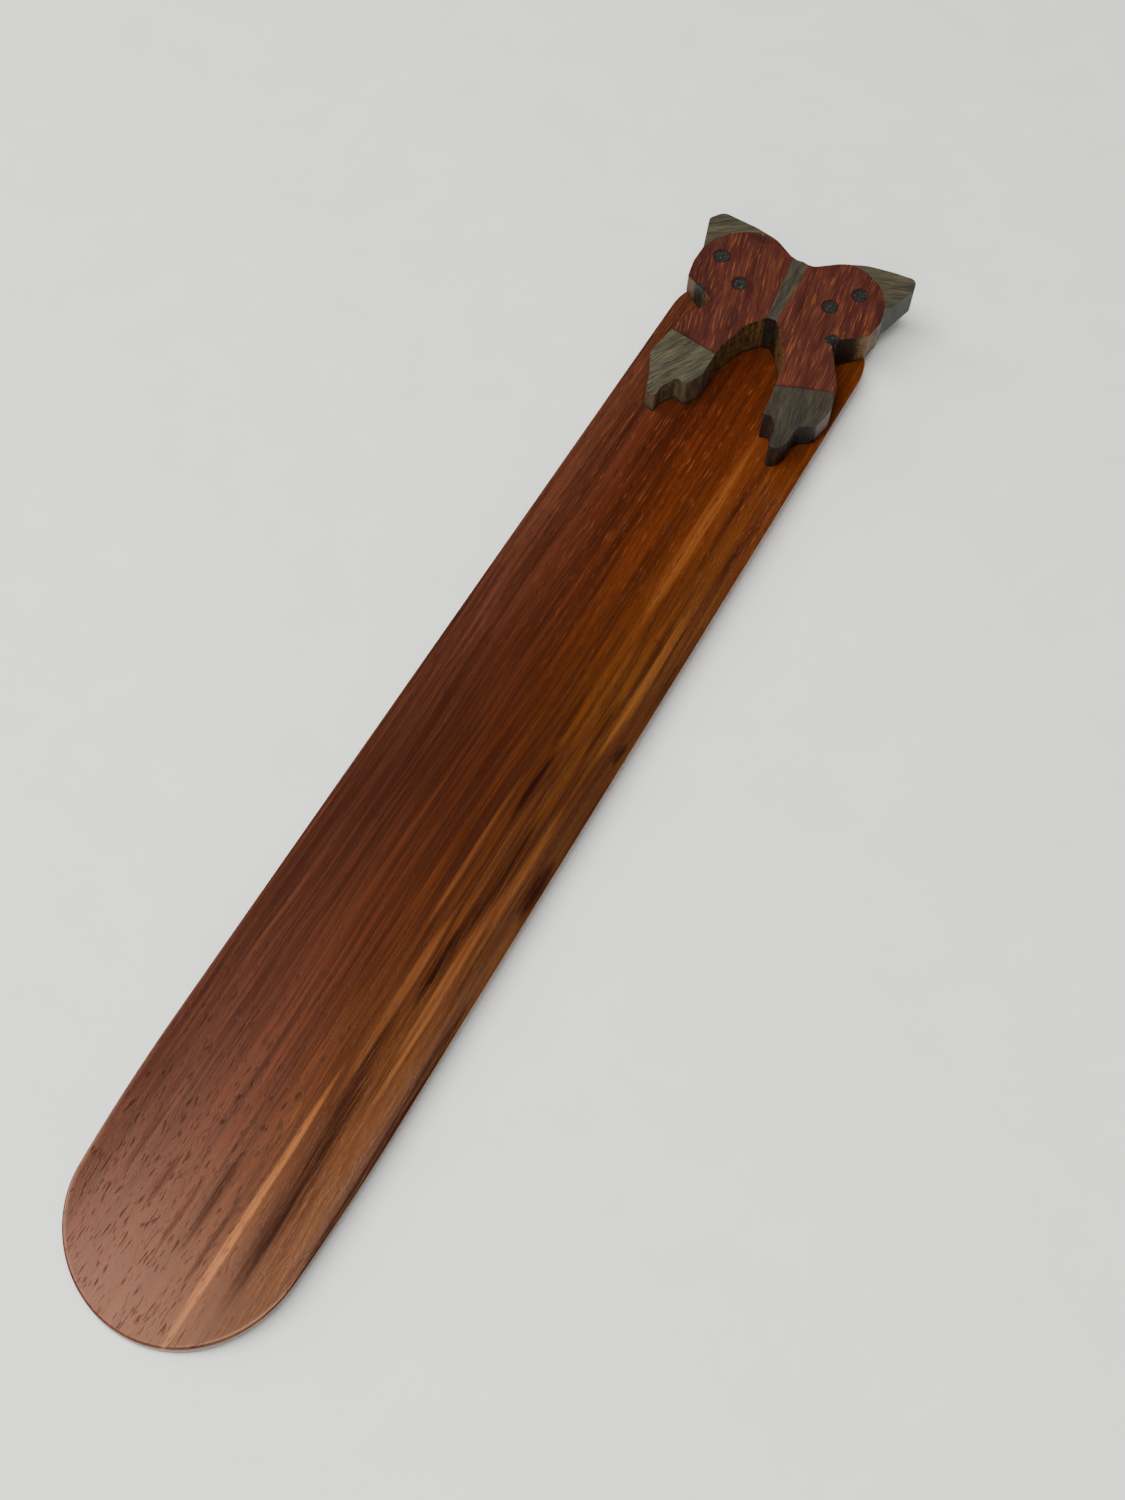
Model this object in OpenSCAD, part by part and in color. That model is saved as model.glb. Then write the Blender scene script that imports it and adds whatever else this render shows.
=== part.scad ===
// Wooden shoehorn: a dished blade with an inlaid-wood butterfly glued over its head end.
// Millimetres. +X across the blade, +Y from the spoon end to the butterfly, +Z up.
// It lies on its back with the dish upwards. The origin is under the middle of its length.

/* [Blade] */
// Length of the blade from the spoon's tip to the head end hidden under the butterfly
blade_l = 279.5; // [274:0.5:280]
// Width between the parallel sides
blade_w = 47.5; // [46:0.5:48.5]
// Length over which the sides draw in towards the spoon's round end
draw_in_l = 54; // [50:4:54]
// Radius of the long curve along which they draw in
draw_in_r = 480; // [460:10:480]
// Thickness along the middle of the blade
blade_t = 2.4; // [2:0.2:3.4]
// Thickness of the blade at its long edges
edge_t = 1.6; // [1.2:0.2:2]
// Radius of the dish that runs the length of the blade
dish_r = 66; // [62:2:72]
// How far to the right of the middle the dish is deepest
dish_shift = 3; // [3:0.5:3.5]
// Radius of the two corners at the head end
head_corner_r = 20; // [14:1:22]
// How much the curved back is planed off to leave a narrow flat to rest on
back_flat_depth = 0.3; // [0.2:0.05:0.4]

/* [Butterfly] */
// Distance from the spoon's tip to the notch between the hindwings
notch_at = 262; // [261:1:264]
// How far the right forewing reaches past that notch, along the blade
wing_reach = 25.5; // [25:0.5:26]
// Angle by which the butterfly was glued on askew, anticlockwise from above
butterfly_turn = 2; // [0:1:4]
// Angle by which its sawn walls lean to the right
butterfly_lean = 3; // [0:1:6]
// Height of the butterfly above the deepest line of the dish, at the notch
butterfly_t = 10.1; // [9.1:0.5:11.1]
// Angle at which its top rises towards the head end
top_slope = 4; // [0:1:6]
// Where the relief under the overhanging right forewing tip starts, out from the middle
relief_start = 20.5; // [20:0.5:20.5]
// Angle of that relief
relief_angle = 28; // [20:4:40]

/* [Wooden spots] */
// Diameter of the dark dowels that make the spots
spot_d = 3.2; // [2.4:0.4:4]

/* [Hidden] */

$fn = 96;
total_l = notch_at + wing_reach;
tip_y = -total_l / 2;
notch_y = tip_y + notch_at;
dish_z = blade_t + dish_r;
// Radius of the spoon's end, which meets the two draw-in curves smoothly, and how far back it does
spoon_r = (draw_in_r * blade_w - blade_w * blade_w / 4 - draw_in_l * draw_in_l)
    / (2 * (draw_in_r - draw_in_l));
spoon_join = spoon_r - spoon_r * (draw_in_l - spoon_r) / (draw_in_r - spoon_r);
// The higher, left edge of the dish, and the back's radius that leaves edge_t under it
left_reach = blade_w / 2 + dish_shift;
edge_z = dish_z - sqrt(dish_r * dish_r - left_reach * left_reach);
back_sag = edge_z - edge_t + back_flat_depth;
back_r = (left_reach * left_reach + back_sag * back_sag) / (2 * back_sag);
// The relief starts from the dish's surface, and this far towards the head from the notch
relief_z = dish_z - sqrt(dish_r * dish_r - (relief_start - dish_shift) * (relief_start - dish_shift));
relief_from = 11;
// Long enough to cut right through the part
far = 400;
// Blocks taller than the butterfly
tall = 40;
// How far one part of the blade's outline runs on inside the next
overlap = 8;
// How far a cutter runs past what it cuts
slack = 2;
arc_steps = 5;

padauk = "#a2431d";
red_wood = "#84402a";
grey_wood = "#6e6a58";
ebony = "#26272b";

// Outlines of the two wings, in the butterfly's own frame: out from its middle, and towards
// its head from the notch. Each entry is a corner and the radius that rounds it.
right_wing_line = [
    [0, 18.7, 0], [1.3, 18.3, 0.6], [3.0, 18.4, 2], [7.9, 21.6, 8], [13.8, 23.8, 12],
    [20, 24.4, 20], [25.9, 24.5, 1.8], [26.4, 21.2, 1.5], [22.9, 12.6, 0.5], [23.1, 9.0, 6],
    [22.1, 4.5, 0.6], [14.9, -0.2, 1], [18.0, -5.6, 14], [21.4, -12.0, 10],
    [22.7, -18.4, 5], [21.5, -24.1, 1.5], [17.7, -25.6, 2], [17.4, -30.8, 3],
    [15.9, -33.3, 1.4], [13.9, -33.2, 0.8], [13.3, -28.0, 3], [11.4, -25.3, 1], [9.3, -25.8, 0.5],
    [9.0, -20.4, 6], [7.7, -10.2, 8], [3.6, -2.6, 5], [1.2, 0, 0.8], [0, 0, 0]
];
left_wing_line = [
    [0, 18.7, 0], [1.5, 18.6, 0.6], [3.2, 19.1, 2], [8.2, 22.3, 9], [14.0, 23.8, 14],
    [23.0, 25.0, 2.4], [25.4, 22.0, 1.2], [23.0, 13.2, 1], [23.3, 8.4, 6],
    [22.6, 3.8, 1], [15.0, -0.2, 1], [15.2, -2.8, 1], [17.6, -6.2, 6], [19.2, -11.6, 12],
    [20.9, -20.0, 3], [18.3, -26.0, 4], [17.1, -30.6, 1.2], [14.6, -31.1, 0.7],
    [14.4, -28.2, 1.5], [12.2, -24.4, 0.7], [9.6, -25.4, 1.2], [7.4, -21.0, 4],
    [7.2, -12.4, 8], [4.5, -4.2, 6], [0.9, -0.1, 0.8], [0, 0, 0]
];
// The grey strip between the wings: its length, and half its width at the head and at the notch
strip_l = 18;
strip_left = [2.5, 1.1];
strip_right = [1.5, 1.5];
// Round seam between a red wing and its grey forewing tip: centre out, centre forward, radius
left_tip_seam = [9.9, 9.0, 13.8];
right_tip_seam = [10.5, 10.2, 12.2];
tip_seam_start = 10;
// Straight seam between a red wing and its grey hindwing tip: its inner and outer ends
left_hind_seam = [[4.7, -15.2], [24, -11.1]];
right_hind_seam = [[5.5, -18.1], [24.5, -12.6]];
// Middles of the dark spots
left_outer_at = [17.8, 12.5];
right_outer_at = [15.9, 14.8];
left_inner_at = [10.6, 6.6];
right_inner_at = [11.0, 8.8];
left_notch_at = [18.9, 1.3];
right_notch_at = [15.0, 0.1];

function unit(v) = v / norm(v);
function flat(p) = [p[0], p[1]];

// Points along the arc of radius r that rounds the corner between a and b
function corner_arc(a, corner, b, r) =
    let (
        ua = unit(a - corner),
        ub = unit(b - corner),
        half = acos(ua * ub) / 2,
        reach = r / tan(half),
        centre = corner + unit(ua + ub) * r / sin(half),
        start = corner + ua * reach - centre,
        end = corner + ub * reach - centre,
        from = atan2(start[1], start[0]),
        sweep = atan2(start[0] * end[1] - start[1] * end[0], start * end)
    )
    [
        for (i = [0:arc_steps])
            let (a = from + sweep * i / arc_steps)
            centre + r * [cos(a), sin(a)]
    ];

// A closed outline with each corner rounded by its own radius
function rounded(line) =
    let (n = len(line))
    [
        for (i = [0:n - 1])
            let (
                a = flat(line[(i + n - 1) % n]),
                c = flat(line[i]),
                b = flat(line[(i + 1) % n]),
                r = line[i][2]
            )
            each (r == 0 ? [c] : corner_arc(a, c, b, r))
    ];

// A round bar along the blade, in line with the deepest part of the dish
module along_blade(radius, height) {
    translate([dish_shift, 0, height]) rotate([90, 0, 0])
        cylinder(r = radius, h = far, center = true, $fn = 360);
}

module draw_in_curve(side) {
    translate([side * (blade_w / 2 - draw_in_r), tip_y + draw_in_l]) circle(r = draw_in_r, $fn = 720);
}

module blade_plan() {
    translate([0, tip_y + spoon_r]) circle(r = spoon_r);
    intersection() {
        draw_in_curve(-1);
        draw_in_curve(1);
        translate([-blade_w, tip_y + spoon_join]) square([2 * blade_w, draw_in_l - spoon_join + overlap]);
    }
    translate([-blade_w / 2, tip_y + draw_in_l]) square([blade_w, blade_l - draw_in_l - head_corner_r]);
    translate([-blade_w / 2 + head_corner_r, tip_y + draw_in_l])
        square([blade_w - 2 * head_corner_r, blade_l - draw_in_l]);
    for (side = [-1, 1])
        translate([side * (blade_w / 2 - head_corner_r), tip_y + blade_l - head_corner_r])
            circle(r = head_corner_r);
}

module blade() {
    color(padauk) difference() {
        intersection() {
            linear_extrude(tall) blade_plan();
            along_blade(back_r, back_r - back_flat_depth);
        }
        along_blade(dish_r, dish_z);
    }
}

// The butterfly is drawn flat in the plane of its top and sawn downwards with a lean. Each side is
// drawn on the right, and the left one is mirrored before the lean is given.
module at_side(side) {
    translate([0, notch_y, blade_t + butterfly_t])
        rotate([0, 0, butterfly_turn]) rotate([0, butterfly_lean, 0])
        translate([0, 0, -tall / 2]) mirror([side < 0 ? 1 : 0, 0, 0]) children();
}

// The room a butterfly piece can fill: above the dish, under the sloping top, clear of the tip relief
module butterfly_room() {
    difference() {
        along_blade(dish_r, dish_z);
        translate([0, notch_y, blade_t + butterfly_t]) rotate([top_slope, 0, 0])
            translate([-far / 2, -far / 2, 0]) cube([far, far, far]);
        translate([relief_start, notch_y + relief_from, relief_z])
            rotate([0, -relief_angle, 0]) translate([0, 0, -tall]) cube([tall, tall, tall]);
    }
}

module shaped(line) {
    linear_extrude(tall) polygon(rounded(line));
}

// The half of the strip on this side, from the notch to the head
module strip_block(half_width) {
    linear_extrude(tall) polygon([
        [0, -slack], [half_width[1], -slack], [half_width[1], 0],
        [half_width[0], strip_l], [half_width[0], strip_l + slack], [0, strip_l + slack]
    ]);
}

// What lies past the round seam of a forewing tip
module tip_block(seam) {
    difference() {
        translate([tip_seam_start, tip_seam_start, 0]) cube([tall, tall, tall]);
        translate([seam[0], seam[1], -slack]) cylinder(r = seam[2], h = tall + 2 * slack);
    }
}

// What lies past the straight seam of a hindwing tip
module hind_block(seam) {
    linear_extrude(tall) polygon([seam[0], [seam[0][0], -tall], [seam[1][0], -tall], seam[1]]);
}

module spot_pin(at) {
    translate([at[0], at[1], -slack]) cylinder(d = spot_d, h = tall + 2 * slack);
}

module wing(side, line, half_width, tip_seam, hind_seam, spots) {
    color(red_wood) intersection() {
        butterfly_room();
        at_side(side) difference() {
            shaped(line);
            strip_block(half_width);
            tip_block(tip_seam);
            hind_block(hind_seam);
            for (at = spots) spot_pin(at);
        }
    }
}

module forewing_tip(side, line, tip_seam) {
    color(grey_wood) intersection() {
        butterfly_room();
        at_side(side) intersection() {
            shaped(line);
            tip_block(tip_seam);
        }
    }
}

module hindwing_tip(side, line, hind_seam) {
    color(grey_wood) intersection() {
        butterfly_room();
        at_side(side) intersection() {
            shaped(line);
            hind_block(hind_seam);
        }
    }
}

module spot(side, line, at) {
    color(ebony) intersection() {
        butterfly_room();
        at_side(side) intersection() {
            shaped(line);
            spot_pin(at);
        }
    }
}

module body_strip() {
    color(grey_wood) intersection() {
        butterfly_room();
        union() {
            at_side(-1) intersection() {
                shaped(left_wing_line);
                strip_block(strip_left);
            }
            at_side(1) intersection() {
                shaped(right_wing_line);
                strip_block(strip_right);
            }
        }
    }
}

left_spots = [left_outer_at, left_inner_at, left_notch_at];
right_spots = [right_outer_at, right_inner_at, right_notch_at];
module left_wing() { wing(-1, left_wing_line, strip_left, left_tip_seam, left_hind_seam, left_spots); }
module right_wing() { wing(1, right_wing_line, strip_right, right_tip_seam, right_hind_seam, right_spots); }
module left_forewing_tip() { forewing_tip(-1, left_wing_line, left_tip_seam); }
module right_forewing_tip() { forewing_tip(1, right_wing_line, right_tip_seam); }
module left_hindwing_tip() { hindwing_tip(-1, left_wing_line, left_hind_seam); }
module right_hindwing_tip() { hindwing_tip(1, right_wing_line, right_hind_seam); }
module left_outer_spot() { spot(-1, left_wing_line, left_outer_at); }
module right_outer_spot() { spot(1, right_wing_line, right_outer_at); }
module left_inner_spot() { spot(-1, left_wing_line, left_inner_at); }
module right_inner_spot() { spot(1, right_wing_line, right_inner_at); }
module left_notch_spot() { spot(-1, left_wing_line, left_notch_at); }
module right_notch_spot() { spot(1, right_wing_line, right_notch_at); }

blade();
body_strip();
left_wing();
right_wing();
left_forewing_tip();
right_forewing_tip();
left_hindwing_tip();
right_hindwing_tip();
left_outer_spot();
right_outer_spot();
left_inner_spot();
right_inner_spot();
left_notch_spot();
right_notch_spot();
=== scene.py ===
"""Looks of the wooden shoehorn: a dished padauk blade under a butterfly of inlaid woods.

Lengths are in millimetres, except where a comment says metres, and turn into metres as they are used.
+X runs across the blade, +Y from the spoon end to the butterfly, +Z up out of the dish.
"""

import math

import bmesh
import bpy
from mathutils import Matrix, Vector
from mathutils.bvhtree import BVHTree


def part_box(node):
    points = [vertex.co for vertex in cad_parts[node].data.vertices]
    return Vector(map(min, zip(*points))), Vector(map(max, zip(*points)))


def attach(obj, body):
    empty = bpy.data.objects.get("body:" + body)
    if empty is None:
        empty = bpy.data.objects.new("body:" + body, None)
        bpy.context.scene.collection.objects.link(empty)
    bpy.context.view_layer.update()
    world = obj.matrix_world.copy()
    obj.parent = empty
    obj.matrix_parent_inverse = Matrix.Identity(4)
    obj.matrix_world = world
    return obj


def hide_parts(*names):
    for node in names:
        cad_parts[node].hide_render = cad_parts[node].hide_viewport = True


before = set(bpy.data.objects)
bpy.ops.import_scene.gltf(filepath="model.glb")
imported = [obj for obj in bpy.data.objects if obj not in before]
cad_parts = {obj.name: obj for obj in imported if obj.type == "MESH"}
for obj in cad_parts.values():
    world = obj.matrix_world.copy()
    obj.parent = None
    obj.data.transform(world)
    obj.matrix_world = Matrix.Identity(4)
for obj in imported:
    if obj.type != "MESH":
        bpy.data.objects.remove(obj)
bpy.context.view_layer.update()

MM = 0.001
BLADE_LOW, BLADE_HIGH = (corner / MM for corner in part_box("blade"))

# The blade's section, as its CAD solid has it: thickness along the middle and at the long edges,
# radius of the dish, how far right of the middle it is deepest, and depth planed off the curved back
BLADE_T = 2.4
EDGE_T = 1.6
DISH_R = 66.0
DISH_SHIFT = 3.0
BACK_FLAT_DEPTH = 0.3

# The blade's plan: length and radius of the sides' draw-in to the spoon end, and the head's two corners
DRAW_IN_L = 54.0
DRAW_IN_R = 480.0
HEAD_CORNER_R = 20.0
HALF_W = (BLADE_HIGH.x - BLADE_LOW.x) / 2
TIP_Y = BLADE_LOW.y
HEAD_Y = BLADE_HIGH.y

# The notch between the hindwings, from which the butterfly's stains are placed
NOTCH_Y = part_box("body_strip")[0].y / MM


# ---------------------------------------------------------------- camera

CAMERA_PITCH = 57.77
CAMERA_TURN = 28.4
CAMERA_AT = (118.5, -201.2, 362.5)
SENSOR = 36.0
FOCAL_PER_LONG_SIDE = 2080 / 1500
NEAREST_SEEN = 10

camera = bpy.data.objects.new("camera", bpy.data.cameras.new("camera"))
bpy.context.collection.objects.link(camera)
camera.location = Vector(CAMERA_AT) * MM
camera.rotation_euler = (math.radians(90 - CAMERA_PITCH), 0, math.radians(CAMERA_TURN))
camera.data.sensor_width = SENSOR
camera.data.lens = SENSOR * FOCAL_PER_LONG_SIDE
camera.data.clip_start = NEAREST_SEEN * MM
bpy.context.scene.camera = camera


# ---------------------------------------------------------------- material graphs


def linear(code):
    """A colour written as RRGGBB, in the linear values that shaders take."""
    parts = [int(code[i : i + 2], 16) / 255 for i in (0, 2, 4)]
    return (*[c / 12.92 if c <= 0.04045 else ((c + 0.055) / 1.055) ** 2.4 for c in parts], 1.0)


class Graph:
    """Short names for the shader nodes that the materials are made of."""

    def __init__(self, name):
        self.material = bpy.data.materials.new(name)
        self.material.use_nodes = True
        self.tree = self.material.node_tree
        self.tree.nodes.clear()
        coords = self.add("TexCoord")
        self.place = self.vector_product(coords.outputs["Object"], (1 / MM,) * 3)
        self.x, self.y, self.z = self.add("SeparateXYZ", {0: self.place}).outputs
        self.up = self.add("SeparateXYZ", {0: coords.outputs["Normal"]}).outputs[2]

    def add(self, kind, inputs=None, **settings):
        node = self.tree.nodes.new("ShaderNode" + kind)
        for key, value in settings.items():
            setattr(node, key, value)
        for key, value in (inputs or {}).items():
            if isinstance(value, bpy.types.NodeSocket):
                self.tree.links.new(value, node.inputs[key])
            else:
                node.inputs[key].default_value = value
        return node

    def vector_product(self, a, b):
        return self.add("VectorMath", {0: a, 1: b}, operation="MULTIPLY").outputs[0]

    def math(self, operation, a, b):
        return self.add("Math", {0: a, 1: b}, operation=operation).outputs[0]

    def total(self, *values):
        result = values[0]
        for value in values[1:]:
            result = self.math("ADD", result, value)
        return result

    def product(self, *values):
        result = values[0]
        for value in values[1:]:
            result = self.math("MULTIPLY", result, value)
        return result

    def mixture(self, *shares):
        """The sum of the values in (value, share) pairs, each times its share."""
        return self.total(*[self.product(value, share) for value, share in shares])

    def spread(self, value, low, high, to_low=0.0, to_high=1.0, smooth=True):
        """Takes value from low..high to to_low..to_high, and holds it beyond."""
        inputs = {"Value": value, "From Min": low, "From Max": high, "To Min": to_low, "To Max": to_high}
        kind = "SMOOTHSTEP" if smooth else "LINEAR"
        return self.add("MapRange", inputs, interpolation_type=kind).outputs[0]

    def noise(self, across, along, turn=0.0, shift=0.0, detail=2.0, rough=0.5, source=None):
        """Noise with features `across` mm wide and `along` mm long, their length turned from +Y."""
        stretch = {
            "Vector": source or self.place,
            "Location": (shift, shift * 0.37, shift * 0.61),
            "Rotation": (0, 0, math.radians(turn)),
            "Scale": (across, along, across),
        }
        mapped = self.add("Mapping", stretch, vector_type="TEXTURE")
        inputs = {"Vector": mapped.outputs[0], "Scale": 1.0, "Detail": detail, "Roughness": rough}
        return self.add("TexNoise", inputs, noise_dimensions="3D").outputs[0]

    def waved(self, sway, reach):
        """The place in the piece, pushed sideways by `reach` mm as `sway` goes from 0 to 1."""
        push = self.product(self.math("SUBTRACT", sway, 0.5), reach)
        return self.add("CombineXYZ", {0: self.total(self.x, push), 1: self.y, 2: self.z}).outputs[0]

    def blob(self, at, half_w, half_l, lean=0.0, soft=0.2):
        """1 inside a soft long patch round `at`, 0 outside. Its length leans from +Y."""
        c, s = math.cos(math.radians(lean)), math.sin(math.radians(lean))
        dx = self.math("SUBTRACT", self.x, at[0])
        dy = self.math("SUBTRACT", self.y, at[1])
        u = self.mixture((dx, c / half_w), (dy, s / half_w))
        v = self.mixture((dx, -s / half_l), (dy, c / half_l))
        r = self.total(self.product(u, u), self.product(v, v))
        return self.spread(r, soft, 1.0, 1.0, 0.0)

    def blend(self, factor, a, b):
        inputs = {0: factor, 6: a, 7: b}
        return self.add("Mix", inputs, data_type="RGBA", blend_type="MIX", clamp_factor=True).outputs[2]

    def ramp(self, factor, *stops):
        node = self.add("ValToRGB", {0: factor})
        bands = node.color_ramp.elements
        while len(bands) < len(stops):
            bands.new(0.5)
        for band, (at, code) in zip(bands, stops):
            band.position, band.color = at, linear(code)
        return node.outputs[0]

    def finish(self, colour, roughness, height, bump, specular=0.5, tint="FFFFFF"):
        """Ends the graph in a Principled shader, with height (0..1) times `bump` mm of relief."""
        relief = self.add("Bump", {"Height": height, "Distance": bump * MM, "Strength": 1.0})
        inputs = {
            "Base Color": colour,
            "Roughness": roughness,
            "Normal": relief.outputs[0],
            "Specular IOR Level": specular,
            "Specular Tint": linear(tint),
        }
        shader = self.add("BsdfPrincipled", inputs)
        self.add("OutputMaterial", {0: shader.outputs[0]})
        return self.material


# ---------------------------------------------------------------- the blade's wood

# Strength of the oiled blade's shine where the wood is dense, and in its darkest streaks
GLOSS = 0.66
STREAK_GLOSS = 0.1

# Colours of the grain: place across the blade, colour of its dark parts and of its light parts
GRAIN = (
    (-21, "3B1B12", "5C3323"),
    (-12, "34150A", "4E2515"),
    (-1, "341306", "53250D"),
    (6, "351506", "55280A"),
    (13, "341506", "592F0C"),
    (20, "351708", "53300F"),
)

# Golden streaks along the grain: middle, half width, half length, strength
GOLDEN_STREAKS = (
    ((7.8, -118), 1.1, 38, 0.85),
    ((7.8, -128), 0.8, 24, 0.6),
    ((4.3, -96.5), 1.0, 6, 0.3),
    ((18.3, -98), 4.4, 44, 0.12),
    ((16.5, -62), 1.4, 30, 0.45),
    ((9.8, -66), 1.3, 26, 0.4),
    ((11.5, -30), 1.0, 24, 0.25),
    ((17.8, -30), 1.2, 18, 0.25),
    ((10.0, 62), 1.8, 34, 0.35),
    ((12.2, 10), 1.2, 24, 0.1),
    ((18.5, 20), 1.4, 26, 0.3),
    ((6.5, -30), 0.9, 22, 0.3),
)

# Dark streaks along the grain: middle, half width, half length, lean, strength
DARK_STREAKS = (
    ((14.0, -34), 2.0, 19, 0, 1.0),
    ((13.2, -55), 1.5, 13, 0, 1.0),
    ((9.4, -11), 1.2, 13, 0, 1.0),
    ((8.4, 6), 0.9, 11, 0, 0.6),
    ((15.4, 6), 1.0, 10, 0, 0.7),
    ((13.4, -106), 2.6, 30, 0, 0.9),
    ((11.4, -82), 1.3, 17, 0, 0.7),
    ((15.8, -84), 0.9, 12, 0, 0.6),
    ((22.2, -34), 1.8, 9, 0, 1.0),
    ((22.8, -90), 1.3, 46, 0, 0.9),
    ((22.0, 1.5), 1.2, 3.5, 0, 0.9),
    ((5.2, 60), 0.7, 22, 0, 0.4),
    ((20.4, 62), 0.9, 14, 0, 0.6),
    ((14.8, 74), 0.8, 9, 0, 0.6),
    ((12.0, 36), 0.8, 16, 0, 0.5),
    ((17.2, 26), 0.7, 12, 0, 0.45),
    ((0.8, -115), 1.2, 14, 0, 0.65),
    ((4.8, -122), 0.8, 12, 0, 0.5),
    ((-3.0, -120), 0.9, 10, 0, 0.5),
    ((-9.0, -117), 1.1, 7, 0, 0.55),
    ((-15.5, -112), 0.8, 9, 0, 0.45),
    ((1.5, -62), 2.6, 20, 0, 0.35),
    ((-6.0, -22), 1.0, 28, 1, 0.4),
    ((-11.0, 70), 0.8, 26, 1, 0.35),
)


def padauk():
    """The blade: redder on the left, more golden on the right, in long bands with short pores."""
    g = Graph("padauk")
    waved = g.waved(g.noise(30, 80, shift=3), 4.0)
    band = g.noise(4.0, 170, shift=11, detail=3, rough=0.6, source=waved)
    middle = g.noise(1.3, 70, shift=17, detail=2, rough=0.6, source=waved)
    fine = g.noise(0.5, 26, shift=23, detail=3, rough=0.65, source=waved)
    deeper = g.product(g.spread(g.y, -70, -20), g.spread(g.y, 20, -20, 0, -0.05))
    tone = g.total(g.mixture((band, 0.34), (middle, 0.34), (fine, 0.32)), deeper)

    where = g.spread(g.x, -HALF_W, HALF_W, smooth=False)
    places = [(x + HALF_W) / (2 * HALF_W) for x, _, _ in GRAIN]
    dark = g.ramp(where, *zip(places, [code for _, code, _ in GRAIN]))
    light = g.ramp(where, *zip(places, [code for _, _, code in GRAIN]))
    colour = g.blend(g.spread(tone, 0.37, 0.64), dark, light)

    # More orange towards the head, and ruddier and pinker on the left of the spoon end: partly the
    # wood's own tone, partly painted sheen
    orange = g.product(g.spread(g.y, 10, 100), g.spread(g.x, -22, -4), 0.55)
    colour = g.blend(orange, colour, g.ramp(tone, (0.40, "3E1505"), (0.62, "682A0E")))
    ruddy_and_painted_sheen = g.product(g.spread(g.y, -40, -110), g.spread(g.x, 6, -10), 0.45)
    colour = g.blend(ruddy_and_painted_sheen, colour, g.ramp(tone, (0.40, "3C1C18"), (0.62, "5A2C22")))

    ragged = g.spread(middle, 0.36, 0.62, 0.35, 1.0)
    for at, half_w, half_l, strength in GOLDEN_STREAKS:
        streak = g.product(g.blob(at, half_w, half_l), ragged, strength)
        colour = g.blend(streak, colour, linear("94592A"))

    # The dark streaks are broken up by the fine grain, and shine less
    broken = g.spread(fine, 0.42, 0.64, 1.0, 0.5)
    dullness = 0.0
    for at, half_w, half_l, lean, strength in DARK_STREAKS:
        streak = g.product(g.blob(at, half_w, half_l, lean, 0.1), broken, strength)
        colour = g.blend(streak, colour, linear("230D07"))
        dullness = g.math("MAXIMUM", dullness, streak)

    # Fine pores all over, dark dashes at the spoon end, and pale vessels towards the head
    pores = g.spread(g.noise(0.34, 3.4, shift=51, detail=1, source=waved), 0.60, 0.72)
    colour = g.blend(g.product(pores, 0.55), colour, linear("260F07"))
    dash = g.spread(g.noise(0.6, 2.8, shift=67, detail=0.5, source=waved), 0.66, 0.76)
    dashes = g.product(dash, g.spread(g.y, -50, -100), g.spread(g.x, 16, 2, 0.3, 1.0))
    colour = g.blend(g.product(dashes, 0.7), colour, linear("200D08"))
    vessel = g.spread(g.noise(0.24, 4.5, shift=83, detail=1, source=waved), 0.62, 0.74)
    vessels = g.product(vessel, g.spread(g.y, -20, 100, 0.05, 0.55))
    colour = g.blend(vessels, colour, linear("8A4C2C"))

    wall = g.spread(g.up, 0.8, 0.3)
    colour = g.blend(g.product(wall, 0.5), colour, linear("4A2214"))

    dullness = g.math("MAXIMUM", dullness, g.product(dashes, 0.55))
    dullness = g.math("MAXIMUM", dullness, g.product(pores, 0.6))
    gloss = g.spread(dullness, 0, 1, GLOSS, STREAK_GLOSS, smooth=False)
    rough = g.total(g.spread(fine, 0.3, 0.7, 0.21, 0.28), g.product(pores, 0.12))
    height = g.mixture((fine, 0.35), (pores, -0.6), (vessel, -0.3))
    return g.finish(colour, rough, height, 0.03, specular=gloss, tint="FFC6AA")


# ---------------------------------------------------------------- the butterfly's woods

# Squeezes a wall's height, so that the saw's marks run up it
SAW_MARKS = (1, 1, 0.12)


def cut_walls(g, top, light, dark, turn, scorch_and_painted_light):
    """Gives a wood's sawn sides colours of their own, with patches of saw scorch, painted shade and
    painted light, and painted contact shade darkest at the foot.
    """
    mottle = g.noise(0.9, 1.3, turn, 5, detail=4, rough=0.7)
    squeezed = g.vector_product(g.place, SAW_MARKS)
    upright = g.noise(0.7, 0.7, turn, 9, detail=2, rough=0.6, source=squeezed)
    sawn = g.ramp(g.mixture((mottle, 0.5), (upright, 0.5)), (0.38, dark), (0.62, light))
    # Patches on the walls: the dark ones are partly saw scorch and partly painted shade, the pale ones
    # are painted light
    for at, half_w, half_l, strength, code in scorch_and_painted_light:
        uneven = g.spread(mottle, 0.35, 0.65, strength, strength * 0.75)
        sawn = g.blend(g.product(g.blob(at, half_w, half_l), uneven), sawn, linear(code))

    # Height above the dish, which is close to a parabola across the blade
    offset = g.math("SUBTRACT", g.x, DISH_SHIFT)
    dish = g.total(g.product(offset, offset, 0.5 / DISH_R), BLADE_T)
    rise = g.math("SUBTRACT", g.z, dish)
    # Painted contact shade: the wall darkens towards near black over its lowest millimetre, where it
    # stands on the blade
    sawn = g.blend(g.spread(rise, 0.1, 1.0, 0.85, 0.0), sawn, linear("120A06"))
    return g.blend(g.spread(g.up, 0.75, 0.35), top, sawn)


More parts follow.
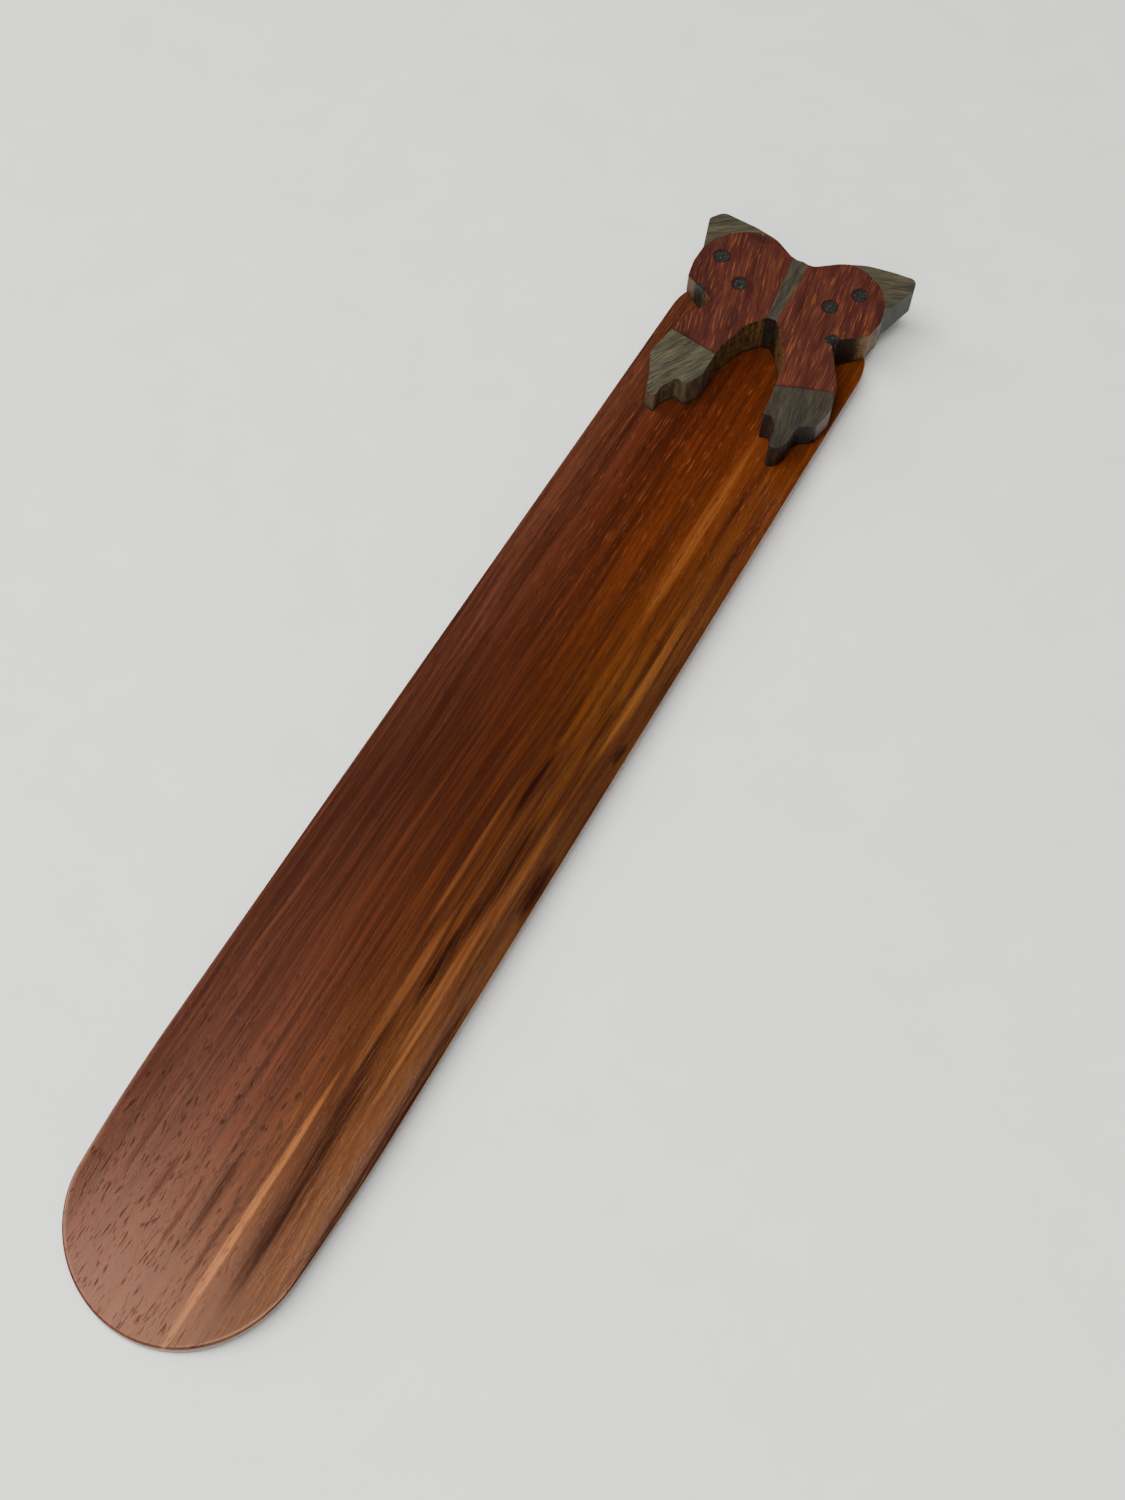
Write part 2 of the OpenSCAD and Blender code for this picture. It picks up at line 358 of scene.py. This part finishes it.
def red_wood(name, turn, spots, patches, wall_scorch_and_painted_light):
    """A butterfly wing: pale streaks on red-brown, with a dark ring round each spot."""
    g = Graph(name)
    waved = g.waved(g.noise(9, 18, turn, 7), 1.8)
    broad = g.noise(2.4, 26, turn, 13, detail=3, rough=0.6, source=waved)
    fine = g.noise(0.45, 20, turn, 29, detail=3, rough=0.6, source=waved)
    tone = g.mixture((broad, 0.55), (fine, 0.45))
    colour = g.ramp(tone, (0.36, "301311"), (0.50, "3F1D18"), (0.64, "50291D"))
    streak = g.spread(g.noise(0.40, 24, turn, 41, detail=2, source=waved), 0.55, 0.70)
    colour = g.blend(g.product(streak, 0.6), colour, linear("784428"))
    pore = g.spread(g.noise(0.24, 1.8, turn, 59, detail=1, source=waved), 0.62, 0.74)
    colour = g.blend(g.product(pore, 0.5), colour, linear("26100C"))
    for at in spots:
        ring = g.product(g.blob(at, 2.3, 2.3, soft=0.55), 0.95)
        colour = g.blend(ring, colour, linear("1A1110"))
    for at, half_w, half_l, lean, strength in patches:
        uneven = g.spread(broad, 0.3, 0.6, strength, strength * 0.6)
        patch = g.product(g.blob(at, half_w, half_l, lean), uneven)
        colour = g.blend(patch, colour, linear("241216"))
    colour = cut_walls(g, colour, "6B5331", "28190E", turn, wall_scorch_and_painted_light)
    rough = g.spread(fine, 0.3, 0.7, 0.46, 0.56)
    height = g.mixture((fine, 0.4), (pore, -0.5))
    return g.finish(colour, rough, height, 0.04, specular=0.2, tint="FFCEAE")


def grey_wood(name, turn, top=("4E4936", "28241B"), walls=("5C4C34", "2C2118"), wall_scorch_and_painted_light=()):
    """A grey-green inlay with fine dark grain lines. `top` and `walls` are each a light and a dark."""
    g = Graph(name)
    light, dark = top
    waved = g.waved(g.noise(5, 8, turn, 17), 2.2)
    broad = g.noise(1.8, 12, turn, 19, detail=3, rough=0.6, source=waved)
    fine = g.noise(0.35, 8, turn, 31, detail=3, rough=0.65, source=waved)
    tone = g.mixture((broad, 0.45), (fine, 0.55))
    colour = g.ramp(tone, (0.38, dark), (0.63, light))
    line = g.spread(g.noise(0.32, 7, turn, 43, detail=1.5, source=waved), 0.54, 0.66)
    colour = g.blend(g.product(line, 0.7), colour, linear("211D18"))
    colour = cut_walls(g, colour, *walls, turn, wall_scorch_and_painted_light)
    rough = g.spread(fine, 0.3, 0.7, 0.52, 0.62)
    height = g.mixture((fine, 0.5), (line, -0.5))
    return g.finish(colour, rough, height, 0.04, specular=0.25)


def ebony():
    """The dowels: end grain, black-brown with a few paler specks."""
    g = Graph("ebony")
    speck = g.noise(0.45, 0.45, shift=71, detail=3, rough=0.7)
    colour = g.ramp(speck, (0.42, "0E0D0E"), (0.56, "1C1B1B"), (0.70, "4A4A44"))
    rough = g.spread(speck, 0.3, 0.7, 0.45, 0.6)
    return g.finish(colour, rough, speck, 0.05, specular=0.25)


def spot_middle(node):
    low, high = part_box(node)
    return ((low.x + high.x) / 2 / MM, (low.y + high.y) / 2 / MM)


# The dark patches on a wing's top give middle, half width, half length, lean and strength, and
# the patches on the walls (saw scorch, painted shade and painted light) give middle, half width, half
# length, strength and colour


def left_wing_wood():
    spots = [spot_middle(node) for node in ("left_outer_spot", "left_inner_spot")]
    patches = (
        ((-12.4, NOTCH_Y + 21), 3.8, 1.4, 0, 0.9),
        ((-8.5, NOTCH_Y - 3.5), 2.6, 4.0, 15, 0.5),
        ((-17.5, NOTCH_Y + 0.5), 2.4, 2.4, 0, 0.6),
        ((-13.0, NOTCH_Y - 13.5), 0.8, 10, 79, 0.9),
    )
    # Dark at the middle notch's apex (partly saw scorch, partly painted shade), pale on the left notch's
    # outer wall (painted light), and dark in the left notch (a dowel's cut face, widened by scorch and
    # painted shade)
    wall_scorch_and_painted_light = (
        ((1.5, NOTCH_Y - 0.5), 3.2, 2.6, 0.9, "1A130C"),
        ((-21.5, NOTCH_Y + 2), 2.6, 3.0, 0.7, "4E392C"),
        ((-17.0, NOTCH_Y - 1), 1.6, 3.0, 0.5, "1A120E"),
    )
    return red_wood("red_wood_left", 13, spots, patches, wall_scorch_and_painted_light)


def right_wing_wood():
    spots = [spot_middle(node) for node in ("right_outer_spot", "right_inner_spot")]
    patches = (
        ((16.0, NOTCH_Y + 0.8), 2.4, 2.0, 0, 0.9),
        ((21.4, NOTCH_Y + 13.6), 1.5, 4.5, 26, 1.0),
        ((15.5, NOTCH_Y - 14.5), 0.8, 10, 107, 0.9),
    )
    # Dark at the middle notch's apex and across the right notch (partly saw scorch, partly painted
    # shade), and pale on the right notch's outer wall (painted light)
    wall_scorch_and_painted_light = (
        ((0.5, NOTCH_Y - 0.5), 3.2, 2.6, 0.9, "1A130C"),
        ((17.6, NOTCH_Y + 1.8), 5.2, 4.2, 1.0, "120E0E"),
        ((17.4, NOTCH_Y + 1.8), 4.2, 4.2, 1.0, "120E0E"),
        ((23.2, NOTCH_Y + 4.4), 2.6, 3.6, 0.8, "5A453A"),
    )
    return red_wood("red_wood_right", 7, spots, patches, wall_scorch_and_painted_light)


def strip_wood():
    # Dark at the notch's apex: partly saw scorch, partly painted shade
    wall_scorch_and_painted_light = (((0.5, NOTCH_Y), 3.5, 2.0, 0.9, "140F0A"),)
    return grey_wood("grey_strip", 2, ("463F2F", "241F17"), ("4A3E2A", "1C150E"), wall_scorch_and_painted_light)


def right_hind_wood():
    # Dark low on the tail's wall (partly dark end grain, partly painted shade), and pale beside it
    # (painted light)
    wall_scorch_and_painted_light = (
        ((20.5, NOTCH_Y - 25), 2.8, 2.8, 0.7, "1D1D1D"),
        ((23.0, NOTCH_Y - 20), 1.4, 5.0, 0.6, "62504A"),
    )
    return grey_wood("grey_right_hind", 8, ("3B3528", "1D1912"), ("32261E", "17100D"), wall_scorch_and_painted_light)


# ---------------------------------------------------------------- the blade's mesh

# Rounding of the rim's upper and lower edge, and the flats that a quarter turn of it has
RIM_R = 0.55
RIM_STEPS = 5

# Columns across each grid, and the share of their places that is drawn towards the long edges
COLUMNS = 60
EDGE_CROWDING = 0.35

# Rows along the spoon end, the draw-in, the parallel sides and the head's corners
SPOON_ROWS = 40
DRAW_IN_ROWS = 16
SIDE_ROWS = 90
HEAD_ROWS = 30

# Points of a mesh that are closer than this, in metres, become one
SAME_POINT = 1e-6
SAME_POINT_FINE = 1e-7


def dish_height(x):
    return BLADE_T + DISH_R - math.sqrt(DISH_R**2 - (x - DISH_SHIFT) ** 2)


LEFT_REACH = HALF_W + DISH_SHIFT
BACK_SAG = dish_height(-HALF_W) - EDGE_T + BACK_FLAT_DEPTH
BACK_R = (LEFT_REACH**2 + BACK_SAG**2) / (2 * BACK_SAG)


def back_height(x):
    curve = BACK_R - BACK_FLAT_DEPTH - math.sqrt(BACK_R**2 - (x - DISH_SHIFT) ** 2)
    return max(0.0, curve)


def arc_point(middle_x, middle_y, radius, angle):
    """A point on an arc, and the direction straight out of it: (x, y, outward x, outward y)."""
    c, s = math.cos(angle), math.sin(angle)
    return (middle_x + radius * c, middle_y + radius * s, c, s)


def half_outline():
    """The right half of the blade's plan, from the tip to the head, with its outward directions."""
    spoon_r = (DRAW_IN_R * 2 * HALF_W - HALF_W**2 - DRAW_IN_L**2) / (2 * (DRAW_IN_R - DRAW_IN_L))
    join = math.atan2(DRAW_IN_L - spoon_r, DRAW_IN_R - HALF_W)
    quarter = math.pi / 2
    points = []
    for i in range(SPOON_ROWS + 1):
        angle = -quarter + (quarter - join) * i / SPOON_ROWS
        points.append(arc_point(0, TIP_Y + spoon_r, spoon_r, angle))
    for i in range(1, DRAW_IN_ROWS + 1):
        angle = -join * (1 - i / DRAW_IN_ROWS)
        points.append(arc_point(HALF_W - DRAW_IN_R, TIP_Y + DRAW_IN_L, DRAW_IN_R, angle))
    start, end = TIP_Y + DRAW_IN_L, HEAD_Y - HEAD_CORNER_R
    for i in range(1, SIDE_ROWS):
        points.append((HALF_W, start + (end - start) * i / SIDE_ROWS, 1.0, 0.0))
    for i in range(HEAD_ROWS + 1):
        points.append(arc_point(HALF_W - HEAD_CORNER_R, end, HEAD_CORNER_R, quarter * i / HEAD_ROWS))
    return points


def column_place(column):
    """Where a column stands across the blade, from -1 at the left edge to 1 at the right."""
    even = 2 * column / COLUMNS - 1
    crowded = -math.cos(math.pi * column / COLUMNS)
    return EDGE_CROWDING * crowded + (1 - EDGE_CROWDING) * even


def grid_rows(bm, half, height_at):
    """Rows of points on one face of the blade, which ends the rim's radius inside the plan."""
    rows = []
    for x, y, nx, ny in half:
        reach = x - RIM_R * nx
        row = []
        for column in range(COLUMNS + 1):
            across = reach * column_place(column)
            row.append(bm.verts.new((across * MM, (y - RIM_R * ny) * MM, height_at(across) * MM)))
        rows.append(row)
    return rows


def border(rows):
    """A grid's border, anticlockwise from above: up the right side, over the head and down the left."""
    right = [row[-1] for row in rows]
    left = [row[0] for row in reversed(rows)]
    head = rows[-1][-2:0:-1]
    tip = rows[0][1:-1]
    return right + head + left + tip


def rim_ring(bm, dish_border, outward, height_at, lift, turn):
    """One ring of the rim, where its rounding has turned outwards by `turn`."""
    ring = []
    for vertex, (nx, ny) in zip(dish_border, outward):
        x = vertex.co.x / MM + RIM_R * math.sin(turn) * nx
        y = vertex.co.y / MM + RIM_R * math.sin(turn) * ny
        z = height_at(x) + lift * RIM_R * (1 - math.cos(turn))
        ring.append(bm.verts.new((x * MM, y * MM, z * MM)))
    return ring


def blade_mesh():
    """A grid over the dish and one over the back, joined by a rim rounded at both of its edges."""
    half = half_outline()
    bm = bmesh.new()
    dish_rows = grid_rows(bm, half, dish_height)
    back_rows = grid_rows(bm, half, back_height)
    for rows, order in ((dish_rows, 1), (back_rows, -1)):
        for a, b in zip(rows, rows[1:]):
            for c in range(COLUMNS):
                bm.faces.new((a[c], a[c + 1], b[c + 1], b[c])[::order])

    outward = [(nx, ny) for _, _, nx, ny in half]
    outward += [(0.0, 1.0)] * (COLUMNS - 1)
    outward += [(-nx, ny) for _, _, nx, ny in reversed(half)]
    outward += [(0.0, -1.0)] * (COLUMNS - 1)

    # The rim turns out and down from the dish, and then back in to the underside
    dish_border = border(dish_rows)
    rings = [dish_border]
    downwards = [(dish_height, -1, i) for i in range(1, RIM_STEPS + 1)]
    inwards = [(back_height, 1, i) for i in range(RIM_STEPS - 1, 0, -1)]
    for height_at, lift, step in downwards + inwards:
        turn = math.pi / 2 * step / RIM_STEPS
        rings.append(rim_ring(bm, dish_border, outward, height_at, lift, turn))
    rings.append(border(back_rows))
    for a, b in zip(rings, rings[1:]):
        for i in range(len(a)):
            j = (i + 1) % len(a)
            bm.faces.new((a[i], b[i], b[j], a[j]))

    # The first row of each grid is drawn together to the tip's one point
    bmesh.ops.remove_doubles(bm, verts=bm.verts, dist=SAME_POINT)
    bmesh.ops.dissolve_degenerate(bm, edges=bm.edges, dist=SAME_POINT_FINE)
    bmesh.ops.recalc_face_normals(bm, faces=bm.faces)
    return bm


# ---------------------------------------------------------------- the butterfly's pieces

BUTTERFLY = [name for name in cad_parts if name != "blade"]

# Easing of a top's edges along the outline and along the seams
OUTLINE_EASE = 0.3
OUTLINE_EASE_STEPS = 3
SEAM_EASE = 0.1

# Most distance between a seam and the piece beyond it
SEAM_REACH = 0.03

# Least area of a top in square millimetres, and least upright share of its normal
LEAST_TOP = 1.0
TOP_UPRIGHT = 0.97

# Faces that differ by less than this angle are one flat face
FLAT_ANGLE = 0.4


def cad_mesh(node):
    bm = bmesh.new()
    bm.from_mesh(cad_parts[node].data)
    bmesh.ops.remove_doubles(bm, verts=bm.verts, dist=SAME_POINT)
    bmesh.ops.dissolve_limit(bm, angle_limit=math.radians(FLAT_ANGLE), verts=bm.verts, edges=bm.edges)
    return bm


SURFACES = {name: BVHTree.FromBMesh(cad_mesh(name)) for name in BUTTERFLY}


def is_seam(edge, node):
    """True if the edge of a piece's top lies against another piece."""
    middle = (edge.verts[0].co + edge.verts[1].co) / 2
    others = [surface for name, surface in SURFACES.items() if name != node]
    return any(surface.find_nearest(middle, SEAM_REACH * MM)[0] is not None for surface in others)


def is_top_edge(edge):
    """True between a top and a wall, and false between two walls."""
    return abs(sum(face.normal.z for face in edge.link_faces)) > 0.7


def ease(bm, edges, size, steps):
    if edges:
        bmesh.ops.bevel(
            bm,
            geom=edges,
            offset=size * MM,
            offset_type="OFFSET",
            segments=steps,
            profile=0.5,
            affect="EDGES",
            clamp_overlap=True,
        )


def inlay_mesh(node):
    """The CAD piece with the edges of its top eased: finely along seams, more along the outline."""
    bm = cad_mesh(node)
    on_outline = bm.edges.layers.int.new("outline")
    least = LEAST_TOP * MM * MM
    tops = [face for face in bm.faces if face.normal.z > TOP_UPRIGHT and face.calc_area() > least]
    top = max(tops, key=lambda face: face.calc_center_median().z)
    seams = [edge for edge in top.edges if is_seam(edge, node)]
    for edge in top.edges:
        edge[on_outline] = int(edge not in seams)
    ease(bm, seams, SEAM_EASE, 1)
    outline = [edge for edge in bm.edges if edge[on_outline] == 1 and is_top_edge(edge)]
    ease(bm, outline, OUTLINE_EASE, OUTLINE_EASE_STEPS)
    bmesh.ops.remove_doubles(bm, verts=bm.verts, dist=SAME_POINT_FINE)
    return bm


# ---------------------------------------------------------------- the pieces

# Least angle between two faces that shows as a hard edge, on the blade and on the butterfly
BLADE_SHARP = 60
INLAY_SHARP = 38


def add_piece(name, bm, node, material, sharp):
    mesh = bpy.data.meshes.new(name)
    bm.to_mesh(mesh)
    bm.free()
    mesh.shade_smooth()
    mesh.set_sharp_from_angle(angle=math.radians(sharp))
    mesh.materials.append(material)
    piece = bpy.data.objects.new(name, mesh)
    bpy.context.collection.objects.link(piece)
    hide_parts(node)
    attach(piece, "root")
    return piece


# Each piece's wood and its slot in the record; the pieces that aren't listed are the dowels
WOODS = {
    "left_wing": (left_wing_wood(), "red_wood"),
    "right_wing": (right_wing_wood(), "red_wood"),
    "body_strip": (strip_wood(), "grey_wood"),
    "left_forewing_tip": (grey_wood("grey_left_fore", -55), "grey_wood"),
    "right_forewing_tip": (grey_wood("grey_right_fore", -70, walls=("3A3A35", "242320")), "grey_wood"),
    "left_hindwing_tip": (
        grey_wood("grey_left_hind", -30, ("544F3A", "28241B"), ("5E503A", "33281C")),
        "grey_wood",
    ),
    "right_hindwing_tip": (right_hind_wood(), "grey_wood"),
}

add_piece("shaped_blade", blade_mesh(), "blade", padauk(), BLADE_SHARP)
dowel_wood = ebony()
for node in BUTTERFLY:
    material, slot = WOODS.get(node, (dowel_wood, "ebony"))
    piece = add_piece("inlaid_" + node, inlay_mesh(node), node, material, INLAY_SHARP)
    # Keeps the shading of each flat top even, right up to its eased edge
    piece.modifiers.new("even_tops", "WEIGHTED_NORMAL").keep_sharp = True


# ---------------------------------------------------------------- table and light

# The table is flat and rises far away into a low wall: radius and height of its rings, in metres
TABLE_RINGS = (
    (0.6, 0),
    (1.2, 0),
    (1.6, 0),
    (1.9, 0.03),
    (2.15, 0.12),
    (2.3, 0.3),
    (2.38, 0.6),
    (2.4, 1.3),
)
TABLE_STEPS = 64


def table_top():
    g = Graph("table")
    tone = g.noise(14, 14, shift=91, detail=3)
    colour = g.ramp(tone, (0.3, "EFF0EE"), (0.7, "F4F5F3"))
    return g.finish(colour, g.spread(tone, 0.3, 0.7, 0.55, 0.6), tone, 0.02)


def table_mesh():
    bm = bmesh.new()
    turns = [2 * math.pi * i / TABLE_STEPS for i in range(TABLE_STEPS)]
    rings = []
    for radius, height in TABLE_RINGS:
        rings.append([bm.verts.new((radius * math.cos(a), radius * math.sin(a), height)) for a in turns])
    bm.faces.new(rings[0])
    for inner, outer in zip(rings, rings[1:]):
        for i in range(TABLE_STEPS):
            j = (i + 1) % TABLE_STEPS
            bm.faces.new((inner[i], outer[i], outer[j], inner[j]))
    mesh = bpy.data.meshes.new("table")
    bm.to_mesh(mesh)
    bm.free()
    mesh.shade_smooth()
    mesh.materials.append(table_top())
    return mesh


table = bpy.data.objects.new("table", table_mesh())
bpy.context.collection.objects.link(table)


def soft_light(name, at, towards, size, power, colour):
    """A rectangular lamp of so many watts at `at`, facing `towards`. Places and size are in metres."""
    data = bpy.data.lights.new(name, "AREA")
    data.shape = "RECTANGLE"
    data.size, data.size_y = size
    data.energy = power
    data.color = colour
    lamp = bpy.data.objects.new(name, data)
    lamp.location = at
    lamp.rotation_euler = (Vector(towards) - Vector(at)).to_track_quat("-Z", "Y").to_euler()
    bpy.context.collection.objects.link(lamp)


WARM_WHITE = (1.0, 0.985, 0.96)
COOL_WHITE = (0.97, 0.99, 1.0)
soft_light("softbox", (-0.34, -0.25, 1.20), (-0.34, -0.25, 0), (1.56, 0.75), 29.0, WARM_WHITE)
soft_light("camera_side", (0.2, -1.5, 0.9), (0, 0, 0), (2.0, 1.2), 16.0, COOL_WHITE)
soft_light("left_side", (-1.2, 0.15, 0.7), (0, 0, 0), (0.5, 0.4), 5.0, COOL_WHITE)

world = bpy.data.worlds.new("room")
world.use_nodes = True
room = world.node_tree.nodes["Background"]
room.inputs["Color"].default_value = (0.93, 0.96, 1.0, 1.0)
room.inputs["Strength"].default_value = 0.07
bpy.context.scene.world = world
